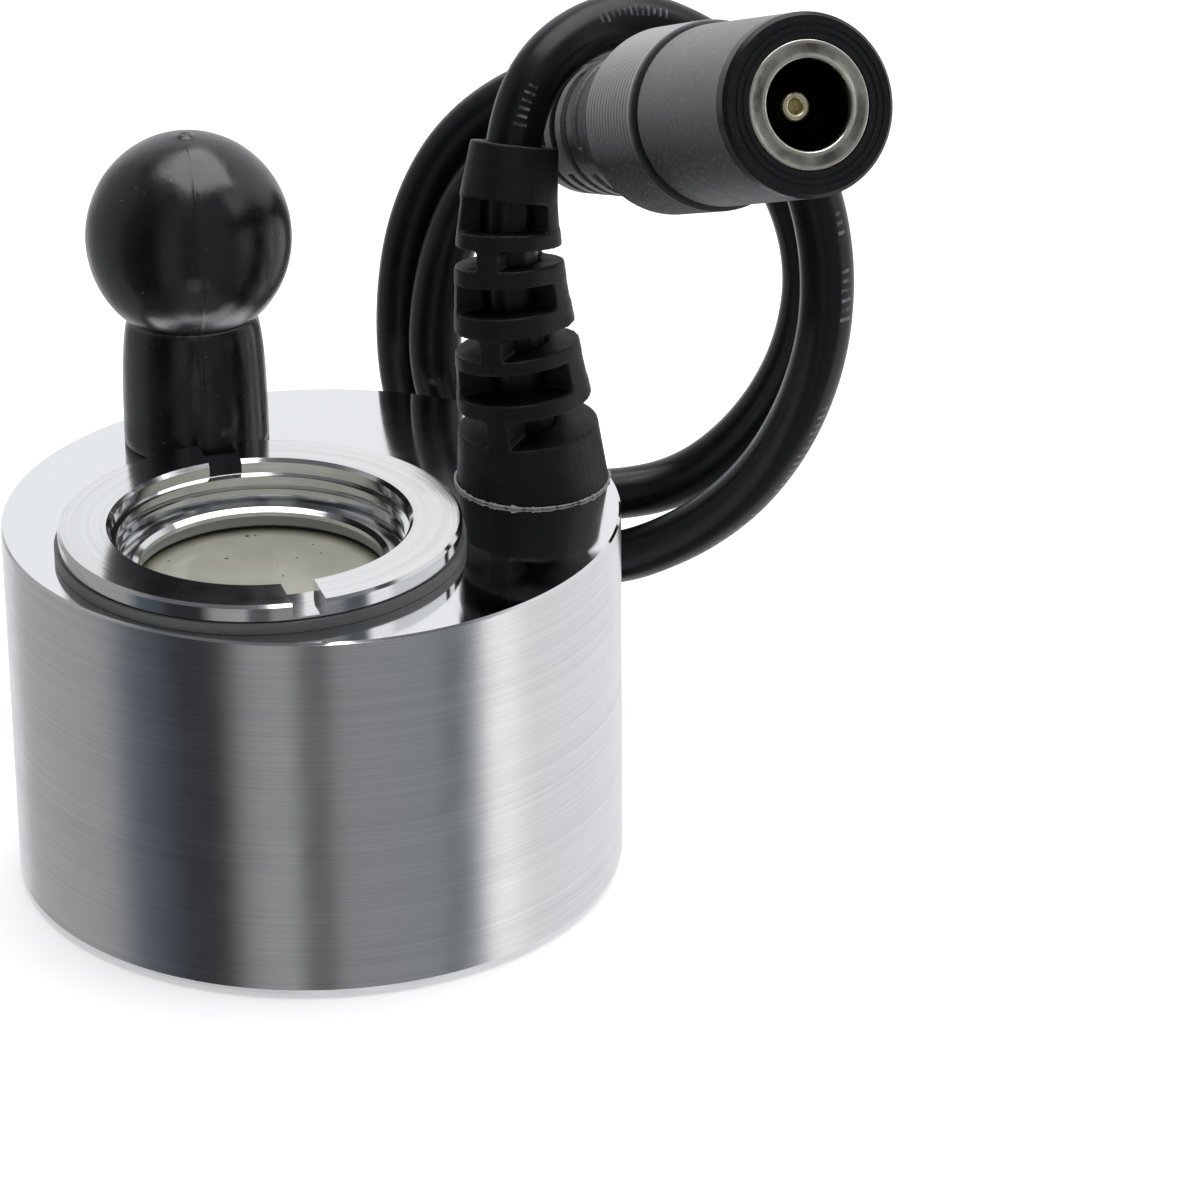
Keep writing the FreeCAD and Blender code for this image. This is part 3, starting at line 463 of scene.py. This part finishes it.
# Parts inside the puck: colour, roughness, grain per millimetre, grain depth and metallic.
INNER_MATERIALS = {
    "wire_red": ((0.42, 0.02, 0.02), 0.4, 2.0, 0.008, 0.0),
    "wire_enamel": ((0.52, 0.20, 0.07), 0.3, 3.0, 0.005, 1.0),
    "grey_plastic": ((0.30, 0.31, 0.32), 0.5, 5.0, 0.008, 0.0),
    "board_green": ((0.02, 0.13, 0.05), 0.35, 1.2, 0.010, 0.0),
    "ferrite": ((0.06, 0.06, 0.065), 0.6, 4.0, 0.015, 0.0),
    "epoxy_black": ((0.02, 0.02, 0.02), 0.45, 6.0, 0.010, 0.0),
    "film_red": ((0.38, 0.05, 0.02), 0.3, 2.0, 0.010, 0.0),
    "can_sleeve": ((0.02, 0.03, 0.10), 0.35, 2.0, 0.006, 0.0),
    "resistor_tan": ((0.52, 0.38, 0.22), 0.4, 3.0, 0.008, 0.0),
    "trimmer_blue": ((0.03, 0.12, 0.42), 0.35, 4.0, 0.006, 0.0),
}


def make_materials():
    made = {slot: build() for slot, build in MATERIALS.items()}
    for slot, (colour, roughness, grain, depth, metallic) in INNER_MATERIALS.items():
        made[slot] = moulded(slot, colour, roughness, grain, depth, metallic=metallic).material
    return made


def node_slots():
    """The record's material slot of each CAD node."""
    return {part["node"]: part["material_slot"] for part in frame["record"]["subparts"]}


def paint(piece, material):
    piece.data.materials.clear()
    piece.data.materials.append(material)


# ---------------------------------------------------------------- mesh building


def add_piece(name, data, body, slot, *nodes):
    piece = bpy.data.objects.new(name, data)
    bpy.context.scene.collection.objects.link(piece)
    paint(piece, materials[slot])
    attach(piece, body)
    if nodes:
        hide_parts(*nodes)
    return piece


def even_angles(count):
    return [2 * math.pi * i / count for i in range(count)]


def lathe(name, profile, angles, origin, turn=None, shift=None, sharp=40.0):
    """A closed solid of revolution from (radius, height) points in millimetres.

    shift(radius, height, angle) gives a small change of radius, for seams."""
    verts = []
    rings = []
    for radius, height in profile:
        ring = []
        for angle in angles if radius > 0 else angles[:1]:
            r = radius + (shift(radius, height, angle) if shift and radius > 0 else 0)
            ring.append(len(verts))
            verts.append(Vector((r * math.cos(angle), r * math.sin(angle), height)) * MM)
        rings.append(ring)
    faces = []
    for low, high in zip(rings, rings[1:] + rings[:1]):
        for i in range(len(angles)):
            j = (i + 1) % len(angles)
            corners = [low[i % len(low)], low[j % len(low)], high[j % len(high)], high[i % len(high)]]
            face = list(dict.fromkeys(corners))
            if len(face) > 2:
                faces.append(face)
    turned = turn.to_matrix().to_4x4() if turn else Matrix()
    mesh = bpy.data.meshes.new(name)
    mesh.from_pydata(verts, [], faces)
    mesh.transform(Matrix.Translation(origin) @ turned)
    mesh.shade_smooth()
    mesh.set_sharp_from_angle(angle=math.radians(sharp))
    return mesh


def arc(centre, radius, start, end, steps):
    """Points of a round stretch of an outline, from start to end in degrees."""
    points = []
    for i in range(steps + 1):
        angle = math.radians(start + (end - start) * i / steps)
        points.append((centre[0] + radius * math.cos(angle), centre[1] + radius * math.sin(angle)))
    return points


def softened(name, node, voxel, rounds):
    """The CAD node's shape with every edge rounded, as it comes out of a mould."""
    mesh = NODES[node].data.copy()
    rough = bpy.data.objects.new(name, mesh)
    bpy.context.scene.collection.objects.link(rough)
    remesh = rough.modifiers.new("even", "REMESH")
    remesh.mode = "VOXEL"
    remesh.voxel_size = voxel * MM
    smooth = rough.modifiers.new("soft", "SMOOTH")
    smooth.factor = 0.5
    smooth.iterations = rounds
    shaped = rough.evaluated_get(bpy.context.evaluated_depsgraph_get())
    result = bpy.data.meshes.new_from_object(shaped)
    bpy.data.objects.remove(rough)
    result.shade_smooth()
    return result


# ---------------------------------------------------------------- pieces


def add_cord():
    """The round lead, along its route."""
    curve = bpy.data.curves.new("lead_cord", "CURVE")
    curve.dimensions = "3D"
    spline = curve.splines.new("NURBS")
    spline.points.add(len(CORD_ROUTE) - 1)
    for point, place in zip(spline.points, CORD_ROUTE):
        point.co = (*place, 1)
    spline.order_u = 3
    spline.use_endpoint_u = True
    spline.resolution_u = 10
    curve.bevel_depth = CORD_D / 2 * MM
    curve.bevel_resolution = 8
    curve.use_fill_caps = True
    return add_piece("lead_cord", curve, "housing", "cable_sheath", "cord")


def add_sensor():
    """The rubber cap: a barrelled post, a ball with a seam down two sides, and a mould nub."""
    post_r, neck_r, ball_r = 5.05, 4.5, 7.1
    stretch = 1.035
    post_steps = 12
    post_taper = 0.06
    base = DECK_Z + 0.02
    ball_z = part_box("sensor_probe")[1].z / MM - 0.2
    neck_z = ball_z - stretch * math.sqrt(ball_r**2 - neck_r**2)
    tall = neck_z - base
    profile = [(0, base), (post_r - 0.15, base), (post_r, base + 0.15)]
    for i in range(1, post_steps):
        share = i / post_steps
        radius = post_r - post_taper * share - (post_r - post_taper - neck_r) * share**4
        profile.append((radius, base + tall * share))
    crease = 0.35
    profile += [(neck_r + 0.02, neck_z - crease), (neck_r - 0.02, neck_z)]
    profile.append((neck_r + 0.14, neck_z + 0.22))
    low = -math.degrees(math.acos(neck_r / ball_r)) + 4
    nub_r = 0.5
    high = math.degrees(math.acos(nub_r / ball_r)) - 2
    ball = arc((0, ball_z), ball_r, low, high, 48)
    profile += [(r, ball_z + stretch * (z - ball_z)) for r, z in ball]
    top = ball_z + stretch * ball_r
    profile += [(nub_r, top + 0.03), (nub_r - 0.1, top + 0.12)]
    profile += [(nub_r - 0.25, top + 0.08), (0, top + 0.06)]
    full_turn = 2 * math.pi
    seam = math.radians(-79.0)
    seam_w = math.radians(0.9)
    seam_height = 0.05

    def seam_ridge(radius, height, angle):
        if radius < nub_r + 0.1 or height < base + 0.1:
            return 0.0
        away = (angle - seam + math.pi / 2) % math.pi - math.pi / 2
        return seam_height * math.exp(-((away / seam_w) ** 2))

    def apart(a, b):
        return abs((a - b + math.pi) % full_turn - math.pi)

    # Sections stand evenly round the cap, with closer ones across each seam.
    across_seam = [math.radians(step) for step in (-1.8, -0.9, 0, 0.9, 1.8)]
    fine = [seam + side * math.pi + step for side in (0, 1) for step in across_seam]
    spread = [a for a in even_angles(120) if min(apart(a, f) for f in fine) > 0.02]
    angles = sorted(a % full_turn for a in spread + fine)
    axis = Vector((SENSOR_AXIS.x, SENSOR_AXIS.y, 0))
    mesh = lathe("sensor_ball", profile, angles, axis, shift=seam_ridge, sharp=60)
    add_piece("sensor_ball", mesh, "housing", "sensor_rubber", "sensor_cap")


def add_boot():
    """The ribbed cable boot, its ribs rounded as moulded rubber is."""
    mesh = softened("ribbed_boot", "strain_relief", 0.11, 5)
    add_piece("ribbed_boot", mesh, "housing", "boot_rubber", "strain_relief")


def add_glue_line():
    """A thin uneven bead of pale glue where the boot meets the deck."""
    foot_r = 5.28
    verts = []
    faces = []
    around, section = 320, 8
    for i in range(around):
        angle = 2 * math.pi * i / around
        place = Vector((math.cos(angle), math.sin(angle), 0))
        wobble = noise.noise(place * 7)
        lump = noise.noise(place * 26)
        bead = max(0.03, 0.09 + 0.08 * wobble + 0.09 * lump)
        for k in range(section):
            turn = 2 * math.pi * k / section
            r = foot_r + 0.05 * wobble + bead * math.cos(turn)
            z = DECK_Z + 0.07 + 0.08 * abs(lump) + bead * math.sin(turn)
            verts.append(Vector((r * math.cos(angle), r * math.sin(angle), z)) * MM)
            across = (k + 1) % section
            ahead = (i + 1) % around * section
            here = i * section
            faces.append([here + k, ahead + k, ahead + across, here + across])
    mesh = bpy.data.meshes.new("boot_glue_line")
    mesh.from_pydata(verts, [], faces)
    mesh.transform(Matrix.Translation((BOOT_FOOT.x, BOOT_FOOT.y, 0)))
    mesh.shade_smooth()
    add_piece("boot_glue_line", mesh, "housing", "pale_silicone")


def add_jack_collar():
    """The grip: a plain dark groove, then fifteen rounded ridges."""
    inner, floor_r = 4.6, GRIP_R - 1.1
    groove, ridges, steps, depth = 0.7, 15, 8, 0.42
    first = GRIP_FRONT + groove
    pitch = (GRIP_BACK - 0.35 - first) / ridges
    profile = [(inner, GRIP_FRONT), (floor_r, GRIP_FRONT), (floor_r, first - 0.05)]
    profile.append((GRIP_R - 0.08, first))
    for i in range(ridges):
        for k in range(steps):
            phase = (k + 0.5) / steps
            before_ridges = i == 0 and phase <= 0.5
            valley = max(0.0, math.cos(2 * math.pi * phase)) ** 1.5
            drop = 0.0 if before_ridges else depth * valley
            profile.append((GRIP_R - drop, first + pitch * (i + phase)))
    profile += [(GRIP_R - 0.3, GRIP_BACK), (inner, GRIP_BACK)]
    mesh = lathe("jack_grip", profile, even_angles(128), JACK_FACE, JACK_TURN, sharp=60)
    return add_piece("jack_grip", mesh, "housing", "satin_black", "jack_collar")


def add_jack_pin():
    """The hollow centre contact, with a rounded lip round its bore."""
    pin_r, root_r, bore_r, tip = 1.0, 1.2, 0.42, 2.0
    cavity, end = 9.5, 13.0
    bore_end = tip + 1.5
    lip_r = (pin_r - bore_r) / 2
    lip = arc((bore_r + lip_r, tip + lip_r), lip_r, 180, 360, 16)
    profile = [(0, bore_end), (bore_r, bore_end)] + lip
    profile += [(pin_r, cavity), (root_r, cavity), (root_r, end), (0, end)]
    mesh = lathe("jack_contact", profile, even_angles(64), JACK_FACE, JACK_TURN, sharp=50)
    return add_piece("jack_contact", mesh, "housing", "pin_brass", "jack_pin")


def add_jack_sleeve():
    """The outer contact: a flat worn lip between two bright rolled edges."""
    end, roll, lip_z = 11.0, 0.16, 0.05
    profile = [(SOCKET_INNER, end)] + arc((SOCKET_INNER + roll, roll), roll, 180, 270, 6)
    profile += [(SOCKET_INNER + 2 * roll, lip_z), (SOCKET_OUTER - 2 * roll, lip_z)]
    profile += arc((SOCKET_OUTER - roll, roll), roll, 270, 360, 6) + [(SOCKET_OUTER, end)]
    mesh = lathe("jack_socket", profile, even_angles(128), JACK_FACE, JACK_TURN, sharp=60)
    return add_piece("jack_socket", mesh, "housing", "nickel", "jack_sleeve")


def add_jack_tail():
    """The jack's short flexible tail, rounded like the boot."""
    mesh = softened("jack_relief", "jack_tail", 0.11, 4)
    return add_piece("jack_relief", mesh, "housing", "satin_black", "jack_tail")


def soften_edges(node, width):
    """A fine broken edge on a machined CAD node."""
    bevel = NODES[node].modifiers.new("broken_edge", "BEVEL")
    bevel.width = width * MM
    bevel.segments = 2
    bevel.limit_method = "ANGLE"
    bevel.angle_limit = math.radians(35)
    bevel.harden_normals = False


# ---------------------------------------------------------------- studio

# What stands round the object, as brightness by azimuth in degrees: 0 is the camera's side and
# positive angles are to its right. Soft panels and grey flags give chrome its bands.
STUDIO = [
    (-180, (0.95, 0.96, 0.97)), (-150, (0.92, 0.94, 0.96)), (-138, (0.44, 0.44, 0.44)),
    (-80, (0.32, 0.325, 0.33)), (-70, (0.085, 0.10, 0.125)), (-56, (0.06, 0.07, 0.085)),
    (-50, (0.03, 0.031, 0.036)), (-32, (0.028, 0.029, 0.032)), (-24, (0.29, 0.30, 0.29)),
    (-7, (0.36, 0.37, 0.36)), (-3, (0.11, 0.115, 0.12)), (6, (0.09, 0.095, 0.10)),
    (10, (0.26, 0.265, 0.27)), (48, (0.24, 0.25, 0.265)), (54, (0.10, 0.115, 0.13)),
    (64, (0.10, 0.115, 0.13)), (69, (1.1, 1.1, 1.1)), (80, (1.1, 1.1, 1.1)),
    (86, (0.78, 0.785, 0.79)), (140, (0.86, 0.87, 0.88)), (180, (0.95, 0.96, 0.97)),
]

# Above these heights over the horizon, in degrees, the studio fades into a plain grey roof.
ROOF_FROM, ROOF_FULL = 42, 52
ROOF = (0.14, 0.14, 0.15)


def add_world():
    """The bands of the studio round the horizon, below its roof."""
    world = bpy.data.worlds.new("studio")
    world.use_nodes = True
    bpy.context.scene.world = world
    nodes = Nodes(world.node_tree)
    x, y, z = nodes.split(nodes.node("ShaderNodeTexCoord", {}, output="Generated"))
    angle = nodes.math("ARCTAN2", x, nodes.math("MULTIPLY", y, -1.0))
    share = nodes.math("ADD", nodes.math("DIVIDE", angle, 2 * math.pi), 0.5)
    bands = nodes.tree.nodes.new("ShaderNodeValToRGB")
    nodes.feed(bands.inputs[0], share)
    stops = bands.color_ramp.elements
    # A new ramp already has its first two stops.
    for i, (azimuth, colour) in enumerate(STUDIO):
        at = (azimuth + 180) / 360
        stop = stops[i] if i < 2 else stops.new(at)
        stop.position = at
        stop.color = (*colour, 1)
    roof_from, roof_full = math.sin(math.radians(ROOF_FROM)), math.sin(math.radians(ROOF_FULL))
    overhead = nodes.span(z, roof_from, roof_full)
    background = nodes.tree.nodes["Background"]
    nodes.feed(background.inputs["Color"], nodes.mix(overhead, bands.outputs[0], ROOF))
    nodes.feed(background.inputs["Strength"], 1.0)


def add_light(name, at, target, size, watts):
    """A square soft light at a place, turned to its target."""
    data = bpy.data.lights.new(name, "AREA")
    data.shape = "SQUARE"
    data.size = size
    data.energy = watts
    light = bpy.data.objects.new(name, data)
    light.location = at
    light.rotation_euler = (Vector(target) - Vector(at)).to_track_quat("-Z", "Y").to_euler()
    bpy.context.scene.collection.objects.link(light)


def add_floor():
    """A plain pale sweep that glows a little and is not mirrored in the object."""
    half = 3.0
    glow = 0.45
    corners = [(-half, -half, 0), (half, -half, 0), (half, half, 0), (-half, half, 0)]
    mesh = bpy.data.meshes.new("floor")
    mesh.from_pydata(corners, [], [[0, 1, 2, 3]])
    floor = bpy.data.objects.new("floor", mesh)
    bpy.context.scene.collection.objects.link(floor)
    graph = Graph("floor_paper", (0.9, 0.9, 0.9), 0.9)
    tone = graph.noise(graph.local(), 0.02, 2.0)
    graph.set("Base Color", graph.mix(tone, (0.89, 0.89, 0.89), (0.91, 0.91, 0.91)))
    graph.set("Emission Color", (1.0, 1.0, 1.0, 1.0))
    graph.set("Emission Strength", glow)
    paint(floor, graph.material)
    floor.visible_glossy = False


# ---------------------------------------------------------------- the scene

add_camera()
materials = make_materials()
cord = add_cord()
grip = add_jack_collar()
relief = add_jack_tail()
contact = add_jack_pin()
socket = add_jack_sleeve()
add_sensor()
add_boot()
add_glue_line()
for node, slot in node_slots().items():
    paint(NODES[node], materials[slot])
soften_edges("lock_ring", 0.06)

add_floor()
add_world()
add_light("overhead_panel", (0.1, 0.1, 0.75), (0.01, 0.01, 0.0), 0.75, 5.5)
view = bpy.context.scene.view_settings
view.view_transform = "Standard"
view.look = "None"
